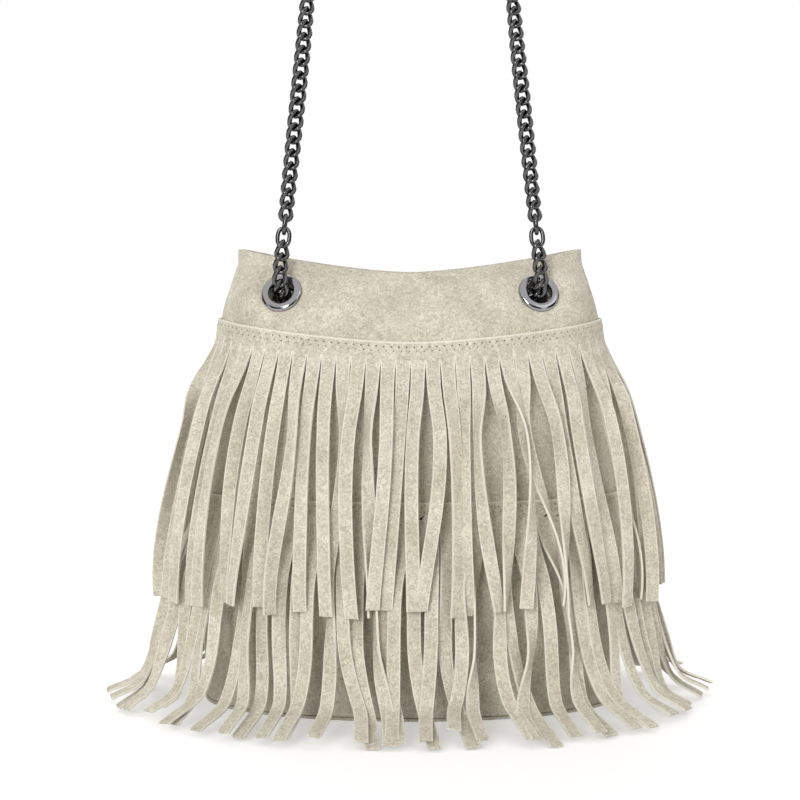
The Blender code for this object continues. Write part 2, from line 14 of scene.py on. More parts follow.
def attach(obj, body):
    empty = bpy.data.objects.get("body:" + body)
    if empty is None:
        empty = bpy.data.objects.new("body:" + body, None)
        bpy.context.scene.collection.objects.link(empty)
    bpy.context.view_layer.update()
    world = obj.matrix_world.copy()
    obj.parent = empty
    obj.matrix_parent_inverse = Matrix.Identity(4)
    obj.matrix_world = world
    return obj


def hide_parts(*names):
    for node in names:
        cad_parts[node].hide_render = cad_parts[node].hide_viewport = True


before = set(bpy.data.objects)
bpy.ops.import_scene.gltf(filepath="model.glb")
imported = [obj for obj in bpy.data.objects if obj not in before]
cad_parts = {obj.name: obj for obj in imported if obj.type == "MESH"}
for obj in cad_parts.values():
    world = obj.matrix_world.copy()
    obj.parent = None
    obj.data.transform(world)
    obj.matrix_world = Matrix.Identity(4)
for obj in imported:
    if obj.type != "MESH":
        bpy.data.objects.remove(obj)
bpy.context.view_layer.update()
mm = 0.001

# Camera, at the height of the bag's mouth and a good arm's length in front, looking slightly down.
CAMERA_PLACE = (-5.5 * mm, -1150 * mm, 254 * mm)
CAMERA_DOWN = 4.4
CAMERA_LENS = 93.6
SENSOR_WIDE = 36

camera = bpy.data.objects.new("camera", bpy.data.cameras.new("camera"))
camera.data.lens = CAMERA_LENS
camera.data.sensor_width = SENSOR_WIDE
camera.location = CAMERA_PLACE
camera.rotation_euler = (radians(90 - CAMERA_DOWN), 0, 0)
bpy.context.scene.collection.objects.link(camera)
bpy.context.scene.camera = camera


# Floor and background: a plain pale table top that goes over into white, and keeps the bag's shadow.
FLOOR_COLOUR = (0.80, 0.80, 0.80, 1)
FLOOR_GLOW = 0.35
ROOM_LIGHT = 0.64
FLOOR_SIZE = 12


def plug(made, node, sockets):
    """Sets each of a node's sockets to a value, or links it to another node."""
    for key, value in sockets.items():
        if isinstance(value, bpy.types.NodeSocket):
            made.node_tree.links.new(value, node.inputs[key])
        else:
            node.inputs[key].default_value = value


def knot(made, kind, sockets=None, **settings):
    """One node of a finish, with its sockets set to values or linked to other nodes."""
    node = made.node_tree.nodes.new(kind)
    for name, value in settings.items():
        setattr(node, name, value)
    plug(made, node, sockets or {})
    return node


def sum_up(made, operation, *values, clamp=False):
    """A number worked out from others."""
    return knot(made, "ShaderNodeMath", dict(enumerate(values)), operation=operation,
                use_clamp=clamp).outputs[0]


def emptied(name, kept_in):
    """A finish or a world that holds only the nodes that are put into it."""
    made = kept_in.new(name)
    made.use_nodes = True
    made.node_tree.nodes.clear()
    return made


def seen_rays(made):
    """1 for what the camera sees, straight, in metal or through glass."""
    path = knot(made, "ShaderNodeLightPath")
    straight = sum_up(made, "MAXIMUM", path.outputs["Is Camera Ray"], path.outputs["Is Glossy Ray"])
    return sum_up(made, "MAXIMUM", straight, path.outputs["Is Transmission Ray"])


def staged(name, bm, finish_used):
    """A mesh that stands by the bag and isn't part of it."""
    mesh = bpy.data.meshes.new(name)
    bm.to_mesh(mesh)
    bm.free()
    mesh.materials.append(finish_used)
    made = bpy.data.objects.new(name, mesh)
    bpy.context.scene.collection.objects.link(made)
    return made


floor_finish = emptied("pale_floor", bpy.data.materials)
paint = knot(floor_finish, "ShaderNodeBsdfDiffuse", {"Color": FLOOR_COLOUR})
glow = knot(floor_finish, "ShaderNodeEmission", {
    "Color": (1, 1, 1, 1),
    "Strength": sum_up(floor_finish, "MULTIPLY", seen_rays(floor_finish), FLOOR_GLOW)})
both = knot(floor_finish, "ShaderNodeAddShader", {0: paint.outputs[0], 1: glow.outputs[0]})
knot(floor_finish, "ShaderNodeOutputMaterial", {"Surface": both.outputs[0]})
bm = bmesh.new()
bmesh.ops.create_grid(bm, x_segments=1, y_segments=1, size=FLOOR_SIZE)
staged("floor", bm, floor_finish)

room = emptied("room", bpy.data.worlds)
bpy.context.scene.world = room
seen = knot(room, "ShaderNodeBackground", {"Color": (1, 1, 1, 1), "Strength": 1.0})
light = knot(room, "ShaderNodeBackground", {"Color": (1.0, 0.99, 0.975, 1), "Strength": ROOM_LIGHT})
shown = knot(room, "ShaderNodeMixShader", {
    0: seen_rays(room), 1: light.outputs[0], 2: seen.outputs[0]})
knot(room, "ShaderNodeOutputWorld", {"Surface": shown.outputs[0]})


# Dark cards stand round the bag, as in a studio. Only polished metal sees them: it would look flat in
# a room that is white on all sides.
CARD_AWAY = 1.6
CARD_HIGH = 0.95
CARDS = 7
CARD_ARC = radians(38)
FIRST_CARD = 0.25

dark_card = emptied("dark_card", bpy.data.materials)
black = knot(dark_card, "ShaderNodeEmission", {"Color": (0.02, 0.02, 0.02, 1), "Strength": 1.0})
knot(dark_card, "ShaderNodeOutputMaterial", {"Surface": black.outputs[0]})
bm = bmesh.new()
for number in range(CARDS):
    middle = 2 * pi * (number + FIRST_CARD) / CARDS
    ends = [(CARD_AWAY * sin(turn), CARD_AWAY * cos(turn))
            for turn in (middle - CARD_ARC / 2, middle + CARD_ARC / 2)]
    bm.faces.new([bm.verts.new((*ends[end], height))
                  for end, height in ((0, 0), (1, 0), (1, CARD_HIGH), (0, CARD_HIGH))])
cards = staged("dark_cards", bm, dark_card)
cards.visible_camera = cards.visible_diffuse = False
cards.visible_shadow = cards.visible_transmission = False


def lamp(name, strength, spread, elevation, azimuth):
    """A wide soft lamp that shines from an elevation, and from an azimuth right of the front."""
    made = bpy.data.objects.new(name, bpy.data.lights.new(name, "SUN"))
    made.data.energy = strength
    made.data.angle = radians(spread)
    made.rotation_euler = (radians(90 - elevation), 0, radians(azimuth))
    bpy.context.scene.collection.objects.link(made)


lamp("key_lamp", 1.50, 24, 18, -20)
lamp("fill_lamp", 0.30, 40, 30, 50)
lamp("back_lamp", 0.95, 40, 35, 190)
bpy.context.scene.view_settings.view_transform = "Standard"


# Base panel: an oval of suede that the bag stands on, with the body's foot sewn to its edge. The
# outline of the whole bag is worked out here, because every later piece lies on it.
SUEDE = 1.3 * mm
PLAY = 0.3 * mm
SEWN_PLAY = 0.5 * mm
BASE_PROUD = 1.0 * mm
HEIGHTS = [0, 85 * mm, 211 * mm, 242 * mm]
HALF_WIDTHS = [113 * mm, 118 * mm, 104 * mm, 95 * mm]
HALF_DEPTHS = [66 * mm, 71 * mm, 50 * mm, 16 * mm]
CAVES = [0, 0, 0.5, 3.0]
CORNERS = [0.45, 0.45, 0.55, 0.7]
FRONT = -1
BACK = 1
SIDES = ((FRONT, "front"), (BACK, "back"))


def between(height, heights, values):
    """Smooth curve through the values at the given heights."""
    last = len(heights) - 1

    def slope(i):
        low, high = max(i - 1, 0), min(i + 1, last)
        return (values[high] - values[low]) / (heights[high] - heights[low])

    height = min(max(height, heights[0]), heights[last])
    i = max(k for k in range(last) if heights[k] <= height)
    span = heights[i + 1] - heights[i]
    s = (height - heights[i]) / span
    return ((2 * s**3 - 3 * s**2 + 1) * values[i] + (s**3 - 2 * s**2 + s) * span * slope(i)
            + (3 * s**2 - 2 * s**3) * values[i + 1] + (s**3 - s**2) * span * slope(i + 1))


def section(turn, height, side):
    """Point of the bag's outside: turn runs from -90 to 90 degrees from one side seam to the other."""
    wide, deep, cave, corner = (between(height, HEIGHTS, values)
                                for values in (HALF_WIDTHS, HALF_DEPTHS, CAVES, CORNERS))
    across = sin(turn)
    depth = deep * (1 + cave * across**2) * max(cos(turn), 0) ** (2 * corner)
    return Vector((wide * across, side * depth, height))


def outward(turn, height, side):
    """Level direction that points away from the bag there."""
    turn = min(max(turn, radians(-88)), radians(88))
    along = section(turn + radians(0.5), height, side) - section(turn - radians(0.5), height, side)
    return Vector((along.y, -along.x, 0)).normalized() * -side


def wrap(turn, height, side, out):
    """Point at a distance out from the bag's outside, kept on its own side of the side seams."""
    point = section(turn, height, side) + outward(turn, height, side) * out
    point.y = side * max(side * point.y, PLAY / 2)
    return point


def shaded(name):
    """A finish, its shader, and the place on the piece that its patterns lie by."""
    made = bpy.data.materials.new(name)
    made.use_nodes = True
    return (made, made.node_tree.nodes["Principled BSDF"],
            knot(made, "ShaderNodeTexCoord").outputs["Object"])


def mottle(made, place, scale, detail, **more):
    """A number that varies over the surface in soft spots, smaller with a larger scale."""
    sockets = {"Vector": place, "Scale": scale, "Detail": detail, **more}
    return knot(made, "ShaderNodeTexNoise", sockets).outputs["Fac"]


def range_of(made, value, low, high, to_low=0.0, to_high=1.0):
    """The value moved from one range to another and kept inside it."""
    return knot(made, "ShaderNodeMapRange", {
        0: value, 1: low, 2: high, 3: to_low, 4: to_high}).outputs[0]


def tones(made, value, dark, light, low=0.0, high=1.0):
    """A colour between a dark and a light one."""
    ramp = knot(made, "ShaderNodeValToRGB", {"Fac": value})
    for stop, spot, colour in zip(ramp.color_ramp.elements, (low, high), (dark, light)):
        stop.position, stop.color = spot, (*colour, 1)
    return ramp.outputs["Color"]


def tinted(made, share, colour, other):
    """A colour that goes over to another one by a share."""
    return knot(made, "ShaderNodeMix", {0: share, 6: colour, 7: (*other, 1)},
                data_type="RGBA").outputs[2]


def bumps(made, height, strength, deep):
    """The surface's direction over small bumps."""
    sockets = {"Height": height, "Strength": strength, "Distance": deep}
    return knot(made, "ShaderNodeBump", sockets).outputs["Normal"]


PATCH_DARK = (0.560, 0.515, 0.412)
PATCH_LIGHT = (0.700, 0.660, 0.552)
RAW_EDGE = (0.83, 0.79, 0.69)
# Painted shade: the dark colour put into the needle holes stands in for the shade inside them.
PAINTED_HOLE_SHADE = (0.16, 0.13, 0.085)


def suede_finish(name, cut=False):
    """Napped suede: soft patches where the nap lies another way, a fine grain, paler raw edges, and on
    cut pieces painted shade in the needle holes.
    """
    made, shader, place = shaded(name)
    brushed = mottle(made, place, 45.0, 5.0, Roughness=0.6, Distortion=0.4)
    nap = mottle(made, place, 1300.0, 2.0, Roughness=0.6)
    grain = mottle(made, place, 470.0, 3.0, Roughness=0.6, Distortion=1.6)
    patches = tones(made, brushed, PATCH_DARK, PATCH_LIGHT, 0.32, 0.68)
    mixed = sum_up(made, "MULTIPLY_ADD", grain, 0.65, sum_up(made, "MULTIPLY", nap, 0.35))
    speck = range_of(made, mixed, 0.38, 0.62, 0.70, 1.20)
    colour = knot(made, "ShaderNodeVectorMath", {0: patches, 1: speck},
                  operation="MULTIPLY").outputs[0]
    rise = sum_up(made, "ADD", nap, grain)
    if cut:
        across, down = uv_parts(made, "cut")
        beside = sum_up(made, "ABSOLUTE", sum_up(made, "SUBTRACT", across, 0.5))
        fuzz = sum_up(made, "ADD", sum_up(made, "MULTIPLY", beside, 2.0),
                      sum_up(made, "MULTIPLY", grain, 0.22))
        raw = range_of(made, fuzz, 0.84, 1.06)
        lip = range_of(made, down, 1.3 * mm, 0.5 * mm)
        pale = sum_up(made, "MULTIPLY", sum_up(made, "MAXIMUM", raw, lip), 0.85)
        colour = tinted(made, pale, colour, RAW_EDGE)
        # Painted shade in the needle holes: they get a dark colour on top of a dent in the bump.
        stitch, fall = uv_parts(made, "seam")
        rows = [needle_holes(made, stitch, fall, *row) for row in HOLE_ROWS]
        holes = sum_up(made, "MAXIMUM", *rows)
        colour = tinted(made, holes, colour, PAINTED_HOLE_SHADE)
        rise = sum_up(made, "SUBTRACT", rise, sum_up(made, "MULTIPLY", holes, 3.0))
    plug(made, shader, {
        "Base Color": colour, "Normal": bumps(made, rise, 0.8, 0.5 * mm), "Roughness": 0.95,
        "Specular IOR Level": 0.12, "Sheen Weight": 0.25, "Sheen Roughness": 0.45,
        "Sheen Tint": (1.0, 0.97, 0.90, 1)})
    return made


def shown_piece(name, bm, finish_used, body="bag", stands_for=(), smooth=True):
    """The finished mesh as a piece of the bag, in place of its CAD nodes."""
    mesh = bpy.data.meshes.new(name)
    bm.to_mesh(mesh)
    bm.free()
    mesh.materials.append(finish_used)
    if smooth:
        mesh.shade_smooth()
    piece = bpy.data.objects.new(name, mesh)
    bpy.context.scene.collection.objects.link(piece)
    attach(piece, body)
    if stands_for:
        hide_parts(*stands_for)
    return piece


def thicken(piece, thickness, offset, round_off, steps=2):
    """Gives a sheet its thickness, and rounds its cut edges."""
    wall = piece.modifiers.new("thickness", "SOLIDIFY")
    wall.thickness, wall.offset, wall.use_even_offset = thickness, offset, True
    soft = piece.modifiers.new("edges", "BEVEL")
    soft.width, soft.segments = round_off, steps
    soft.limit_method, soft.angle_limit = "ANGLE", radians(55)
    soft.harden_normals = True


def outline_spot(share, height, out):
    """Point of the whole outline at a share of the way round, front first."""
    share %= 1.0
    side = FRONT if share < 0.5 else BACK
    turn = -pi / 2 + 2 * pi * share if side == FRONT else pi / 2 - 2 * pi * (share - 0.5)
    return wrap(turn, height, side, out)


plain_suede = suede_finish("suede")
OUTLINE_STEPS = 112
BASE_ROUND = 0.35 * mm

bm = bmesh.new()
ring = bmesh.ops.create_circle(bm, cap_ends=True, segments=OUTLINE_STEPS, radius=1)["verts"]
for i, vert in enumerate(ring):
    spot = outline_spot((i + 0.5) / OUTLINE_STEPS, 0, BASE_PROUD)
    vert.co = (spot.x, spot.y, 0)
grown = bmesh.ops.extrude_face_region(bm, geom=bm.faces[:])["geom"]
top = [v for v in grown if isinstance(v, bmesh.types.BMVert)]
bmesh.ops.translate(bm, verts=top, vec=(0, 0, SUEDE))
bmesh.ops.recalc_face_normals(bm, faces=bm.faces[:])
base = shown_piece("base_suede", bm, plain_suede, stands_for=["base_panel"],
                   smooth=False)
soft = base.modifiers.new("edges", "BEVEL")
soft.width, soft.segments, soft.limit_method = BASE_ROUND, 2, "ANGLE"


# Base board: a stiff card plate inside that keeps the base flat. It stays as it is in the frame and
# only gets its card's finish.
card, card_shader, place = shaded("card")
fibres = mottle(card, place, 600.0, 4.0)
plug(card, card_shader, {
    "Base Color": tones(card, fibres, (0.36, 0.33, 0.28), (0.52, 0.49, 0.42)), "Roughness": 0.9})
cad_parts["base_board"].data.materials[0] = card


# Body panels: two sheets of suede, front and back, that make the bucket. They run from the base up
# under the upper fringe's header, and show between the strips.
MOUTH_SIDE = 249 * mm
MOUTH_MIDDLE = 236 * mm
TOP_SEAM_SIDE = 211 * mm
TOP_SEAM_MIDDLE = 200 * mm
DIP_SHAPE = 1.5
LAP = 6 * mm
BODY_FOOT = SUEDE + PLAY
BODY_THICK = 0.8 * mm
BODY_SLACK = 0.5 * mm
BODY_WAVES = 18
BODY_GRID = (56, 24)
SIDE_LEAN = 0.3


def dip(turn, middle, at_side):
    return middle + (at_side - middle) * abs(sin(turn)) ** DIP_SHAPE


def mouth(turn):
    return dip(turn, MOUTH_MIDDLE, MOUTH_SIDE)


def top_seam(turn):
    return dip(turn, TOP_SEAM_MIDDLE, TOP_SEAM_SIDE)


def laid_grid(bm, columns, rows, place, face_out):
    """A grid of cloth with each vertex put at place(share across, share down), facing outwards."""
    verts = bmesh.ops.create_grid(bm, x_segments=columns, y_segments=rows, size=0.5)["verts"]
    faces = list({face for vert in verts for face in vert.link_faces})
    shares = {vert: (vert.co.x + 0.5, 0.5 - vert.co.y) for vert in verts}
    for vert, (across, down) in shares.items():
        vert.co = place(across, down)
    top = min(faces, key=lambda face: [sum(shares[v][k] for v in face.verts) for k in (1, 0)])
    top.normal_update()
    if top.normal.dot(face_out(top.calc_center_median())) < 0:
        bmesh.ops.reverse_faces(bm, faces=faces)
    return faces, shares


def away(spot):
    """Level direction away from the bag's upright middle."""
    return Vector((spot.x * SIDE_LEAN, spot.y, 0))


for side, where in SIDES:
    def body_spot(across, down):
        turn = -pi / 2 + pi * across
        top = top_seam(turn) - LAP
        height = top + (BODY_FOOT - top) * down
        spot = wrap(turn, height, side, 0)
        slack = BODY_SLACK * (1 + noise.noise(spot * BODY_WAVES))
        return spot - outward(turn, height, side) * slack

    bm = bmesh.new()
    laid_grid(bm, *BODY_GRID, body_spot, away)
    body = shown_piece(f"body_suede_{where}", bm, plain_suede,
                       stands_for=[f"body_{where}"])
    thicken(body, BODY_THICK, -1, 0.2 * mm, 1)


# Lining: a thin textile cup inside the body panels, sewn in under the band, with the board below it.
LINING = 0.6 * mm
LINING_GAP = 1.3 * mm
LINING_OUT = -SUEDE - LINING_GAP
BOARD = 2.0 * mm
LINING_FOOT = BODY_FOOT + BOARD + PLAY
LINING_ROWS = 18

cloth, cloth_shader, place = shaded("lining_cloth")
threads = [knot(cloth, "ShaderNodeTexWave", {"Vector": place, "Scale": 420.0, "Distortion": 0.6},
                bands_direction=way_round).outputs["Fac"] for way_round in ("X", "Z")]
weave = sum_up(cloth, "MULTIPLY", *threads)
faded = mottle(cloth, place, 30.0, 3.0)
plug(cloth, cloth_shader, {
    "Base Color": tones(cloth, faded, (0.44, 0.39, 0.31), (0.58, 0.53, 0.43)),
    "Normal": bumps(cloth, weave, 0.5, 0.2 * mm), "Roughness": 0.85})

bm = bmesh.new()
ring = bmesh.ops.create_circle(bm, cap_ends=True, segments=OUTLINE_STEPS, radius=1)["verts"]
shares = [(i + 0.5) / OUTLINE_STEPS for i in range(OUTLINE_STEPS)]
for vert, share in zip(ring, shares):
    vert.co = outline_spot(share, LINING_FOOT, LINING_OUT)
    vert.co.z = LINING_FOOT
edges = [edge for edge in bm.edges if len(edge.link_faces) == 1]
order = {vert: share for vert, share in zip(ring, shares)}
for row in range(1, LINING_ROWS + 1):
    geometry = bmesh.ops.extrude_edge_only(bm, edges=edges)["geom"]
    fresh = [v for v in geometry if isinstance(v, bmesh.types.BMVert)]
    lifted = {}
    for vert in fresh:
        below = next(e.other_vert(vert) for e in vert.link_edges if e.other_vert(vert) in order)
        lifted[vert] = order[below]
    for vert, share in lifted.items():
        turn = -pi / 2 + 2 * pi * (share if share < 0.5 else 1.0 - share)
        height = LINING_FOOT + (top_seam(turn) - LAP - LINING_FOOT) * row / LINING_ROWS
        vert.co = outline_spot(share, height, LINING_OUT)
    order = lifted
    edges = [e for e in geometry if isinstance(e, bmesh.types.BMEdge)]
bmesh.ops.recalc_face_normals(bm, faces=bm.faces[:])
lining = shown_piece("lining_cup", bm, cloth, stands_for=["lining"])
wall = lining.modifiers.new("thickness", "SOLIDIFY")
wall.thickness, wall.offset = LINING, -1


# Eyelets: turned rings of polished gunmetal that the chain runs through. Each is set through the band
# from outside and closed on a flat washer inside.
EYE_ACROSS = 68 * mm
EYE_PAD = 12.5 * mm
EYE_LOW = 0.32
EYE_HIGH = 0.84
BAND = 2 * SUEDE
EYE_SEAT = 0.4 * mm
WASHER = 0.8 * mm
EYE_STEPS = 72


class Eye:
    """Place of one eyelet: its centre on the band's outside, its axis, and two ways in its plane."""

    def __init__(self, side, hand):
        level = (TOP_SEAM_SIDE + MOUTH_SIDE) / 2
        wide = between(level, HEIGHTS, HALF_WIDTHS)
        sines = [hand * (EYE_ACROSS + k * EYE_PAD) / wide for k in (-hand, hand)]
        near, far = (atan2(s, (1 - s * s) ** 0.5) for s in sines)
        a, b, c, d = (self.band_spot(side, turn, share) for turn, share in (
            (near, EYE_LOW), (far, EYE_LOW), (far, EYE_HIGH), (near, EYE_HIGH)))
        self.centre = (a + b + c + d) / 4
        self.normal = (c - a).cross(d - b).normalized()
        if self.normal.y * side < 0:
            self.normal.negate()
        level = Vector((0, 0, 1))
        self.up = (level - self.normal * level.dot(self.normal)).normalized()
        self.middle = Vector((-hand, 0, 0))
        self.middle = (self.middle - self.normal * self.middle.dot(self.normal)).normalized()

    @staticmethod
    def band_spot(side, turn, share):
        foot = top_seam(turn) - LAP + PLAY
        return wrap(turn, foot + (mouth(turn) - foot) * share, side, 0)

    def at(self, out, up=0.0, to_middle=0.0):
        return self.centre + self.normal * out + self.up * up + self.middle * to_middle


eyes = {side: {hand: Eye(side, hand) for hand in (-1, 1)} for side in (FRONT, BACK)}

gunmetal, metal_shader, place = shaded("polished_gunmetal")
polish = mottle(gunmetal, place, 260.0, 3.0)
plug(gunmetal, metal_shader, {
    "Base Color": (0.33, 0.326, 0.338, 1), "Metallic": 1.0,
    "Roughness": range_of(gunmetal, polish, 0.3, 0.7, 0.08, 0.16),
    "Normal": bumps(gunmetal, polish, 0.12, 0.1 * mm)})

LIP = -BAND - 2 * EYE_SEAT - WASHER - PLAY
EYE_OUTLINE = [
    (6.6, LIP / mm - 0.4), (6.6, 1.2), (6.7, 1.7), (7.0, 2.05), (7.5, 2.2), (8.9, 2.2), (9.8, 2.0),
    (10.6, 1.6), (11.05, 1.0), (11.2, 0.4), (7.4, 0.4), (7.4, LIP / mm), (8.7, LIP / mm - 0.4)]
WASHER_TOP = -BAND - 2 * EYE_SEAT
WASHER_OUTLINE = [(radius, WASHER_TOP / mm - below) for radius, below in (
    (7.7, 0), (10.2, 0), (10.4, 0.2), (10.4, 0.6), (10.2, 0.8), (7.7, 0.8))]


def turned_ring(name, eye, outline, stands_for):
    """A ring turned about the eyelet's axis from its outline in radii and heights, in millimetres."""
    bm = bmesh.new()
    verts = [bm.verts.new(eye.at(out * mm, up=radius * mm)) for radius, out in outline]
    edges = [bm.edges.new((verts[i - 1], verts[i])) for i in range(len(verts))]
    bmesh.ops.spin(bm, geom=verts + edges, cent=eye.centre, axis=eye.normal, angle=2 * pi,
                   steps=EYE_STEPS, use_merge=True)
    bmesh.ops.recalc_face_normals(bm, faces=bm.faces[:])
    made = shown_piece(name, bm, gunmetal, stands_for=[stands_for])
    made.data.set_sharp_from_angle(angle=radians(50))


for side, where in SIDES:
    for hand, word in ((-1, "left"), (1, "right")):
        turned_ring(f"ring_{where}_{word}", eyes[side][hand], EYE_OUTLINE,
                    f"eyelet_{where}_{word}")
        turned_ring(f"back_washer_{where}_{word}", eyes[side][hand], WASHER_OUTLINE,
                    f"washer_{where}_{word}")


# Top band: suede doubled over at the mouth, smooth side seams, pressed flat round each eyelet. Its
# lower edge is under the fringe's header.
PRESSED = 12.0 * mm
FREE = 20.0 * mm
BAND_HOLE = 8.6 * mm
CORNER_DROP = 3.0 * mm
CORNER_SHARE = 0.035
RIPPLE = 0.35 * mm
LONG_RIPPLES = 34
SHORT_RIPPLES = 90
BAND_GRID = (120, 22)
BAND_ROUND = 0.9 * mm


def ease(value, start, end):
    """0 up to the start, 1 from the end, and a smooth rise between them."""
    share = min(max((value - start) / (end - start), 0), 1)
    return share * share * (3 - 2 * share)


for side, where in SIDES:
    def band_place(across, down):
        turn = -pi / 2 + pi * across
        spot = Eye.band_spot(side, turn, 1 - down)
        loose = 1.0
        for eye in eyes[side].values():
            off = (spot - eye.centre).dot(eye.normal)
            flat = 1 - ease((spot - eye.centre - eye.normal * off).length, PRESSED, FREE)
            spot = spot - eye.normal * off * flat
            loose *= 1 - flat
        ripple = noise.noise(spot * LONG_RIPPLES) + 0.5 * noise.noise(spot * SHORT_RIPPLES)
        corner = max(0, 1 - min(across, 1 - across) / CORNER_SHARE) ** 2
        spot.z -= CORNER_DROP * corner * max(0, 1 - 3 * down)
        return spot - outward(turn, spot.z, side) * RIPPLE * (1 + ripple) * loose * (1 - down)

    bm = bmesh.new()
    faces, shares = laid_grid(bm, *BAND_GRID, band_place, away)
    round_eyes = [face for face in faces for eye in eyes[side].values()
                  if (face.calc_center_median() - eye.centre).length < BAND_HOLE]
    bmesh.ops.delete(bm, geom=round_eyes, context="FACES")
    band = shown_piece(f"band_suede_{where}", bm, plain_suede,
                       stands_for=[f"band_{where}"])
    thicken(band, BAND, -1, BAND_ROUND, 3)


# Fringes: each is one strip of suede cut into narrow strips below a header, and sewn on by the header
# with a slanting stitch. The cut edges are raw and paler. Strips sway, twist and lie over each other.
HEADER = 12 * mm
STRIP_WIDE = 7.3 * mm
STITCH = 4.0 * mm
HOLE_ROWS = ((2.8 * mm, 0.0), (5.0 * mm, 0.28))
HOLE_SIZE = 0.48 * mm
HOLE_CORE = 0.7
SEAM_STEPS = 720
STRIP_STEP = 0.01
ROOT = 0.09
LYING = 0.4 * mm
FACING = radians(50)
STEEP = (radians(50), radians(80))
FRONT_ARC = radians(50)
LOWER_SEAM = 117 * mm
EDGE_ROUND = 0.22 * mm
ONE_PLACE = 0.01 * mm

# How far each strip may stray from the plain fall: lengths in millimetres, twists in degrees.
SWAY, SWAY_STRIPS, SWAY_PLAY = 4, 15, 0.5
CLUMP, CLUMP_STEP, CLUMP_PLAY = 7, 0.61, 1.8
WAVE, BENDS = 6.5, (0.7, 1.8)
TWISTS = (10, 18, 28, 45, 80)
LIFT, LIFT_PLAY = 2.2, 2.6
YAW, REACHES = 17, (-12, 3)
TIP_LIFTS = (0, 0, 0, 4, 9)


def uv_parts(made, name):
    """The two numbers of a UV map."""
    chart = knot(made, "ShaderNodeUVMap", uv_map=name).outputs[0]
    spread = knot(made, "ShaderNodeSeparateXYZ", {0: chart})
    return spread.outputs[0], spread.outputs[1]


def needle_holes(made, stitch, fall, depth, shift):
    """1 in the holes of one row, at every stitch, at a depth below the header's edge."""
    within = sum_up(made, "FRACT", sum_up(made, "SUBTRACT", stitch, shift))
    beside = sum_up(made, "MULTIPLY", sum_up(made, "SUBTRACT", within, 0.5), STITCH)
    below = sum_up(made, "SUBTRACT", fall, depth)
    off = knot(made, "ShaderNodeCombineXYZ", {0: beside, 1: below}).outputs[0]
    far = knot(made, "ShaderNodeVectorMath", {0: off}, operation="LENGTH").outputs["Value"]
    return range_of(made, far, HOLE_SIZE, HOLE_SIZE * HOLE_CORE)


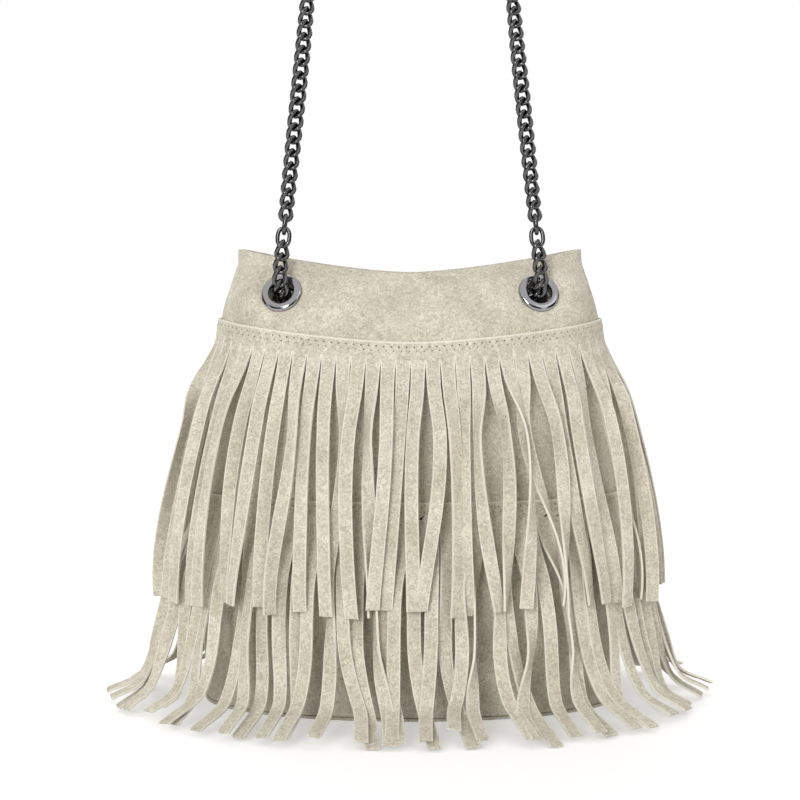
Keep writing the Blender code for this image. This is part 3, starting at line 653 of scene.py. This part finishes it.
class Fringe:
    """One fringe on one side of the bag, with the run of its seam and the fall of each strip."""

    def __init__(self, side, count, line, seed, sway_seed, uneven, loose):
        self.side, self.count, self.line = side, count, line
        turns = [-pi / 2 + pi * i / SEAM_STEPS for i in range(SEAM_STEPS + 1)]
        spots = [section(t, line(t), side) for t in turns]
        run = [0.0]
        for a, b in zip(spots, spots[1:]):
            run.append(run[-1] + (b - a).length)
        self.length = run[-1]
        self.turns, i = [], 0
        for k in range(4 * count + 1):
            goal = self.length * k / (4 * count)
            while i < SEAM_STEPS - 1 and run[i + 1] < goal - 1e-9:
                i += 1
            step, past = run[i + 1] - run[i], goal - run[i]
            self.turns.append(turns[i] + (turns[i + 1] - turns[i]) * past / step)
        self.stitches = round(self.length / STITCH)
        rng = random.Random(seed)
        self.uneven = [rng.uniform(-uneven, uneven) for _ in range(count)]
        rng = random.Random(sway_seed)
        start = rng.uniform(0, 2 * pi)
        self.sway = [SWAY * mm * sin(start + 2 * pi * i / SWAY_STRIPS)
                     + rng.uniform(-SWAY_PLAY, SWAY_PLAY) * mm for i in range(count)]
        self.ways = [self.own_way(i, seed, loose, rng) for i in range(count)]

    @staticmethod
    def own_way(i, seed, loose, rng):
        """How one strip strays from its neighbours."""
        clump = loose * CLUMP * mm * noise.noise(Vector((CLUMP_STEP * i, seed, 0.5)))
        return {"clump": clump + rng.uniform(-CLUMP_PLAY, CLUMP_PLAY) * mm,
                "wave": loose * rng.uniform(-WAVE, WAVE) * mm, "bends": rng.uniform(*BENDS),
                "twist": radians(rng.choice(TWISTS) * rng.choice((-1, 1))),
                "lift": (i % 2) * LIFT * mm + rng.uniform(0, LIFT_PLAY) * mm,
                "yaw": rng.uniform(-YAW, YAW) * mm, "reach": rng.uniform(*REACHES) * mm,
                "tip": rng.choice(TIP_LIFTS) * mm}

    def turn_at(self, share):
        k = min(max(share, 0), 1) * 4 * self.count
        i = min(int(k), 4 * self.count - 1)
        return self.turns[i] + (self.turns[i + 1] - self.turns[i]) * (k - i)

    def header_spot(self, share, down, out=0.0):
        turn = self.turn_at(share)
        return wrap(turn, self.line(turn) - down, self.side, SEWN_PLAY + out)

    def strip_spot(self, number, across, down):
        """Point of a strip: across from 0 to 1, down from 0 at its root to 1 at its tip."""
        way = self.ways[number]
        turn = self.turn_at((number + 0.5) / self.count)
        shares = (down, min(down + STRIP_STEP, 1.0), max(down - STRIP_STEP, 0))
        fall = [self.fall(number, turn, share) for share in shares]
        spots = [wrap(turn, height, self.side, out) for out, height in fall]
        face = outward(turn, fall[0][1], self.side)
        along = face.cross(Vector((0, 0, self.side))).normalized()
        if along.x * cos(turn) < 0:
            along.negate()
        run = (spots[1] - spots[2]).normalized()
        lie = along.cross(run).normalized()
        if lie.dot(face + Vector((0, 0, 0.5))) < 0:
            lie.negate()
        settled = ease(down, 0, 0.35) * self.free(down)
        turned = way["twist"] * settled * sin(pi * (0.25 + 0.75 * down) * way["bends"])
        turned += (1 if turn > 0 else -1) * FACING * ease(abs(turn), *STEEP) * settled
        drift = (self.sway[number] + way["clump"]) * down ** 1.5
        drift += way["wave"] * sin(pi * down * way["bends"]) * ease(down, 0, 0.3)
        drift += way["yaw"] * ease(down, 0.5, 1.15) * (1 - self.free(1))
        centre = spots[0] + along * drift + lie * way["lift"] * ease(down, 0, 0.25)
        arm = along * cos(turned) + lie * sin(turned)
        centre += lie * abs(sin(turned)) * STRIP_WIDE * 0.25
        spot = centre + arm * (across - 0.5) * STRIP_WIDE
        root = self.header_spot((number + across) / self.count, HEADER)
        spot = root.lerp(spot, ease(down, 0, ROOT)) if down < ROOT else spot
        spot.z = max(spot.z, LYING)
        return spot

    def made(self, name, finish_used, stands_for):
        """The header and its strips as one piece, charted for the cut edges and the seam."""
        bm = bmesh.new()
        maps = {key: bm.loops.layers.uv.new(key) for key in ("cut", "seam")}

        def chart(faces, shares, uv_of):
            for face in faces:
                for loop in face.loops:
                    for key, layer in maps.items():
                        loop[layer].uv = uv_of(key, *shares[loop.vert])

        faces, shares = laid_grid(bm, 2 * self.count, 4,
                                  lambda a, d: self.header_spot(a, d * HEADER),
                                  lambda spot: away(spot) + Vector((0, 0, 0.02)))
        chart(faces, shares, lambda key, a, d: (0.5, d * HEADER) if key == "cut"
              else (a * self.stitches, d * HEADER))
        for number in range(self.count):
            ahead = outward(self.turn_at((number + 0.5) / self.count), 100 * mm, self.side)
            faces, shares = laid_grid(bm, 2, self.rows,
                                      lambda a, d: self.strip_spot(number, a, d),
                                      lambda spot: ahead + Vector((0, 0, 0.3)))
            chart(faces, shares, lambda key, a, d: (a, HEADER + d * self.drop) if key == "cut"
                  else (0, 1))
        bmesh.ops.remove_doubles(bm, verts=bm.verts[:], dist=ONE_PLACE)
        piece = shown_piece(name, bm, finish_used, stands_for=[stands_for])
        thicken(piece, SUEDE, 1, EDGE_ROUND, 1)
        return piece


class UpperFringe(Fringe):
    """Hangs from the band's lower edge down over the body, and stands further off at the sides."""
    drop = 130 * mm
    rows = 22
    tip_height = 61 * mm
    off_body = 14 * mm
    off_left, off_right = 5 * mm, 1 * mm
    bow = 0.48

    def fall(self, number, turn, share):
        """How far out and how high a strip is at a share of its length."""
        cut = self.line(turn) - HEADER
        tip = self.tip_height + self.uneven[number]
        more = (self.off_left if turn < 0 else self.off_right) * sin(turn) ** 2
        reach = self.off_body + more + self.ways[number]["reach"] * 0.25
        out = reach * ((1 + self.bow) * share - self.bow * share**2)
        return SEWN_PLAY + out, cut + (tip - cut) * share

    @staticmethod
    def free(down):
        """How freely a strip twists there."""
        return 1.0


class LowerFringe(Fringe):
    """Sewn on half way up the body, falls to the floor and lies out over it."""
    drop = 128 * mm
    rows = 26
    marks = [0, 0.42, 0.80, 1.0]
    far = 66.5 * mm
    nearer_at_side = 14 * mm

    def fall(self, number, turn, share):
        """How far out and how high a strip is at a share of its length."""
        way = self.ways[number]
        nearer = self.nearer_at_side * ease(abs(turn), FRONT_ARC / 2, 1.4 * FRONT_ARC)
        drawn = min(way["reach"], 0) * (0.4 if abs(turn) < FRONT_ARC else 1.0)
        far = self.far - nearer + self.uneven[number] * 0.6 + drawn
        outs = [SEWN_PLAY, 12 * mm, 32 * mm + way["reach"] * 0.4, far]
        heights = [self.line(turn) - HEADER, 57 * mm, 13 * mm, LYING + way["tip"] * 0.5]
        return (between(share, self.marks, outs),
                max(between(share, self.marks, heights), LYING))

    @staticmethod
    def free(down):
        """How freely a strip twists there: hardly at all where it lies on the floor."""
        return 1 - 0.85 * ease(down, 0.55, 0.8)


cut_suede = suede_finish("suede_cut", cut=True)
thread, thread_shader, place = shaded("thread")
twine = knot(thread, "ShaderNodeTexWave", {"Vector": place, "Scale": 900.0, "Distortion": 1.0})
plug(thread, thread_shader, {
    "Base Color": (0.66, 0.60, 0.47, 1), "Roughness": 0.7,
    "Normal": bumps(thread, twine.outputs["Fac"], 0.5, 0.1 * mm)})


THREAD = 0.36 * mm
THREAD_END = 0.2 * mm


def stitching(name, fringe):
    """A slanting stitch between each pair of holes in the header, from one thread."""
    bm = bmesh.new()
    (high, low), shift = (HOLE_ROWS[0][0], HOLE_ROWS[1][0]), HOLE_ROWS[1][1]
    for number in range(fringe.stitches - 1):
        share = (number + 0.5) / fringe.stitches
        top = fringe.header_spot(share, high, SUEDE)
        foot = fringe.header_spot(share + shift / fringe.stitches, low, SUEDE)
        run = foot - top
        lie = Matrix.LocRotScale((top + foot) / 2, run.to_track_quat("Z", "Y"),
                                 (THREAD, THREAD, run.length / 2 + THREAD_END))
        bmesh.ops.create_uvsphere(bm, u_segments=6, v_segments=4, radius=1, matrix=lie)
    shown_piece(name, bm, thread)


for side, where in SIDES:
    upper = UpperFringe(side, count=34, line=top_seam, seed=side + 5, sway_seed=side + 11,
                        uneven=3 * mm, loose=0.8)
    hung = upper.made(f"upper_strips_{where}", cut_suede, f"fringe_upper_{where}")
    stitching(f"upper_stitches_{where}", upper)
    lower = LowerFringe(side, count=40, line=lambda turn: LOWER_SEAM, seed=side + 7,
                        sway_seed=side + 17, uneven=4 * mm, loose=0.7)
    laid = lower.made(f"lower_strips_{where}", cut_suede, f"fringe_lower_{where}")
    stitching(f"lower_stitches_{where}", lower)


# Chain: gunmetal curb links, each bent from round wire and twisted. It goes through the front eyelets,
# inside the mouth to the back ones and across the back, and stands up in front as the strap.
WIRE = 2.7 * mm
TURNING_WIRE = 2.3 * mm
LINK_WIDE = 9.0 * mm
LINK_STEP = 7.0 * mm
LINK_GAP = 0.5 * mm
LINK_TWIST = radians(45)
STRAP_ROLL = radians(15)
EYE_ROLL_LENGTH = 70 * mm
LINK_HOOK = 1.09 * mm
LINK_REACH = (LINK_STEP + LINK_GAP) / 2 + LINK_HOOK
LINK_ROUND = 0.82
WIRE_SIDES = 10
LINK_STEPS = 26
RING_SIZE = 5 * mm
LOOP_STEPS = 24
ARCH_STEP = 18
SHOULDER_ACROSS = 54 * mm
SHOULDER_HEIGHT = 392 * mm
TOP_HEIGHT = 434 * mm
TOP_DEPTH = -12 * mm
LEAN_HEIGHT = 252 * mm
CROSSING_HEIGHT = 213 * mm
BACK_RUN_SIDE = 222 * mm
BACK_RUN_MIDDLE = 216 * mm
BACK_RUN_OUT = 5.4 * mm
BACK_RUN_HALF = 32 * mm
BACK_RUN_SPOTS = (40 * mm, 20 * mm)
STRAP_FOOT = (8.5 * mm, 9 * mm, 0)
INTO_FRONT = [(6.8 * mm, 5 * mm, 0), (3 * mm, 1.6 * mm, 0), (-4 * mm, 0.6 * mm, 0)]
OUT_OF_BACK = [(-4 * mm, 0, 0), (3 * mm, 0, 1 * mm), (6.6 * mm, -1 * mm, 6 * mm),
               (6.9 * mm, -2 * mm, 13 * mm)]


def half_route(hand):
    """The chain's way on one side, from the strap's top down to the middle of the back."""
    front, back = eyes[FRONT][hand], eyes[BACK][hand]
    foot = front.at(*STRAP_FOOT)
    lean = (TOP_DEPTH - foot.y) / (TOP_HEIGHT - foot.z)

    def on_strap(across, height):
        return Vector((hand * across, foot.y + lean * (height - foot.z), height))

    rise = TOP_HEIGHT - SHOULDER_HEIGHT
    arch = [on_strap(SHOULDER_ACROSS * sin(radians(a)), SHOULDER_HEIGHT + rise * cos(radians(a)))
            for a in range(ARCH_STEP, 91, ARCH_STEP)]
    run = [on_strap(SHOULDER_ACROSS + (abs(foot.x) - SHOULDER_ACROSS) * s,
                    SHOULDER_HEIGHT + (foot.z - SHOULDER_HEIGHT) * s) for s in (0.25, 0.5, 0.75, 0.92)]
    through = [front.at(*spot) for spot in INTO_FRONT]
    through.append(Vector((front.centre.x, 0, CROSSING_HEIGHT)))
    through += [back.at(*spot) for spot in OUT_OF_BACK]
    behind = []
    for across in BACK_RUN_SPOTS:
        height = BACK_RUN_MIDDLE + (BACK_RUN_SIDE - BACK_RUN_MIDDLE) * (across / EYE_ACROSS) ** 2
        wide = between(height, HEIGHTS, HALF_WIDTHS)
        turn = hand * atan2(across, (wide**2 - across**2) ** 0.5)
        behind.append(wrap(turn, height, BACK, BACK_RUN_OUT))
    return arch + run + through + behind


def smooth_loop(points):
    """Fine points of a smooth closed curve through the given ones."""
    count, found = len(points), []
    for i in range(count):
        a, b, c, d = (points[(i + k) % count] for k in (-1, 0, 1, 2))
        ab, bc, cd = ((q - p).length ** 0.5 or 1e-6 for p, q in ((a, b), (b, c), (c, d)))
        for k in range(LOOP_STEPS):
            t = k / LOOP_STEPS * bc
            ab_t = a + (b - a) * (t + ab) / ab
            bc_t = b + (c - b) * t / bc
            cd_t = c + (d - c) * (t - bc) / cd
            left = ab_t + (bc_t - ab_t) * (t + ab) / (ab + bc)
            right = bc_t + (cd_t - bc_t) * t / (bc + cd)
            found.append(left + (right - left) * t / bc)
    return found


class Way:
    """A closed curve measured by its length, with the direction that the chain's width lies in."""

    def __init__(self, points, across):
        self.rolls = [(0, 0)]
        self.points = points + [points[0]]
        self.run = [0.0]
        for a, b in zip(self.points, self.points[1:]):
            self.run.append(self.run[-1] + (b - a).length)
        self.across = []
        for a, b in zip(self.points, self.points[1:]):
            along = (b - a).normalized()
            across = (across - along * across.dot(along)).normalized()
            self.across.append(across)

    def at(self, distance):
        distance %= self.run[-1]
        i = next(i for i in range(len(self.points) - 1) if self.run[i + 1] >= distance)
        share = (distance - self.run[i]) / (self.run[i + 1] - self.run[i])
        along = (self.points[i + 1] - self.points[i]).normalized()
        across, roll = self.across[i], self.roll(distance)
        return (self.points[i].lerp(self.points[i + 1], share),
                across * cos(roll) + along.cross(across) * sin(roll))

    def roll(self, distance):
        half = self.run[-1] / 2
        if distance > half:
            return -self.roll(self.run[-1] - distance)
        marks = self.rolls + [(half, 0)]
        i = next(i for i in range(len(marks) - 1) if marks[i + 1][0] >= distance)
        (start, low), (end, high) = marks[i], marks[i + 1]
        return low + (high - low) * (1 - cos(pi * (distance - start) / (end - start))) / 2


def oval(angle):
    """Middle of the wire round a link that lies flat, as (along, across)."""
    def bulge(value):
        return (1 if value > 0 else -1) * abs(value) ** LINK_ROUND

    return Vector((LINK_REACH * bulge(cos(angle)), (LINK_WIDE - WIRE) / 2 * bulge(sin(angle))))


def bent_link(bm, way, place, flat):
    """One link: a ring of wire drawn out to an oval, twisted, or flat where the chain turns on it."""
    centre, across = way.at(place)
    along = (way.at(place + LINK_REACH / 2)[0] - way.at(place - LINK_REACH / 2)[0]).normalized()
    across = flat or across
    across = (across - along * across.dot(along)).normalized()
    side = along.cross(across)
    twist = 0 if flat else LINK_TWIST
    thick = TURNING_WIRE if flat else WIRE
    upright = Matrix.Translation((RING_SIZE, 0, 0)) @ Matrix.Rotation(radians(90), 4, "X")
    wire = bmesh.ops.create_circle(bm, segments=WIRE_SIDES, radius=thick / 2,
                                   matrix=upright)["verts"]
    loop = wire + list({edge for vert in wire for edge in vert.link_edges})
    before = set(bm.verts) - set(wire)
    bmesh.ops.spin(bm, geom=loop, cent=(0, 0, 0), axis=(0, 0, 1), angle=2 * pi,
                   steps=LINK_STEPS, use_merge=True)
    for vert in set(bm.verts) - before:
        angle = atan2(vert.co.y, vert.co.x)
        out, up = hypot(vert.co.x, vert.co.y) - RING_SIZE, vert.co.z
        spot = oval(angle)
        run = oval(angle + 0.02) - oval(angle - 0.02)
        spot += Vector((run.y, -run.x)).normalized() * out
        bend = twist * spot.x / LINK_REACH
        arm = across * cos(bend) + side * sin(bend)
        vert.co = centre + along * spot.x + arm * spot.y + along.cross(arm) * up


points = [Vector((0, TOP_DEPTH, TOP_HEIGHT)), *half_route(-1),
          wrap(0, BACK_RUN_MIDDLE, BACK, BACK_RUN_OUT), *reversed(half_route(1))]
route = smooth_loop(points)
way = Way(route, route[0] - (route[1] + route[-1]) / 2)
total = 2 * round(way.run[-1] / 2 / LINK_STEP)
step = way.run[-1] / total


def links_above(height):
    """How many links the strap has from its top down to a height."""
    count = 0
    while way.at((count + 1) * step)[0].z > height:
        count += 1
    return count


ends = [0, links_above(SHOULDER_HEIGHT), links_above(LEAN_HEIGHT),
        total // 2 - round(BACK_RUN_HALF / step), total // 2]
fold, lean = (end * step for end in ends[1:3])
way.rolls = [(0, 0), (fold, -LINK_TWIST), ((fold + lean) / 2, -STRAP_ROLL), (lean, -LINK_TWIST),
             (lean + EYE_ROLL_LENGTH, 0)]
stretches = [[step * (i + 0.5) for i in range(a, b)] for a, b in zip(ends, ends[1:])]
mirrored = [[way.run[-1] - place for place in reversed(run)] for run in stretches]
above_top = [place + way.run[-1] for place in stretches[0]]

plated, chain_shader, place = shaded("plated_chain")
worn = mottle(plated, place, 420.0, 4.0)
plug(plated, chain_shader, {
    "Base Color": tones(plated, worn, (0.075, 0.074, 0.076), (0.17, 0.167, 0.167)),
    "Metallic": 1.0, "Roughness": range_of(plated, worn, 0.3, 0.7, 0.10, 0.20)})

PIN, HOOP = Vector((1, 0, 0)), Vector((0, 1, 0))
for name, node, body, places, first, last in (
        ("links_strap_top", "strap_top", "strap_top", mirrored[0] + above_top, HOOP, HOOP),
        ("links_strap_left", "strap_left", "strap", stretches[1], PIN, HOOP),
        ("links_strap_right", "strap_right", "strap", mirrored[1], HOOP, PIN),
        ("links_left", "chain_left", "bag", stretches[2], PIN, None),
        ("links_right", "chain_right", "bag", mirrored[2], None, PIN),
        ("links_back", "chain_back", "bag", stretches[3] + mirrored[3], None, None)):
    bm = bmesh.new()
    flats = [first] + [None] * (len(places) - 2) + [last]
    for place, flat in zip(places, flats):
        bent_link(bm, way, place, flat)
    bmesh.ops.recalc_face_normals(bm, faces=bm.faces[:])
    shown_piece(name, bm, plated, body, [node])
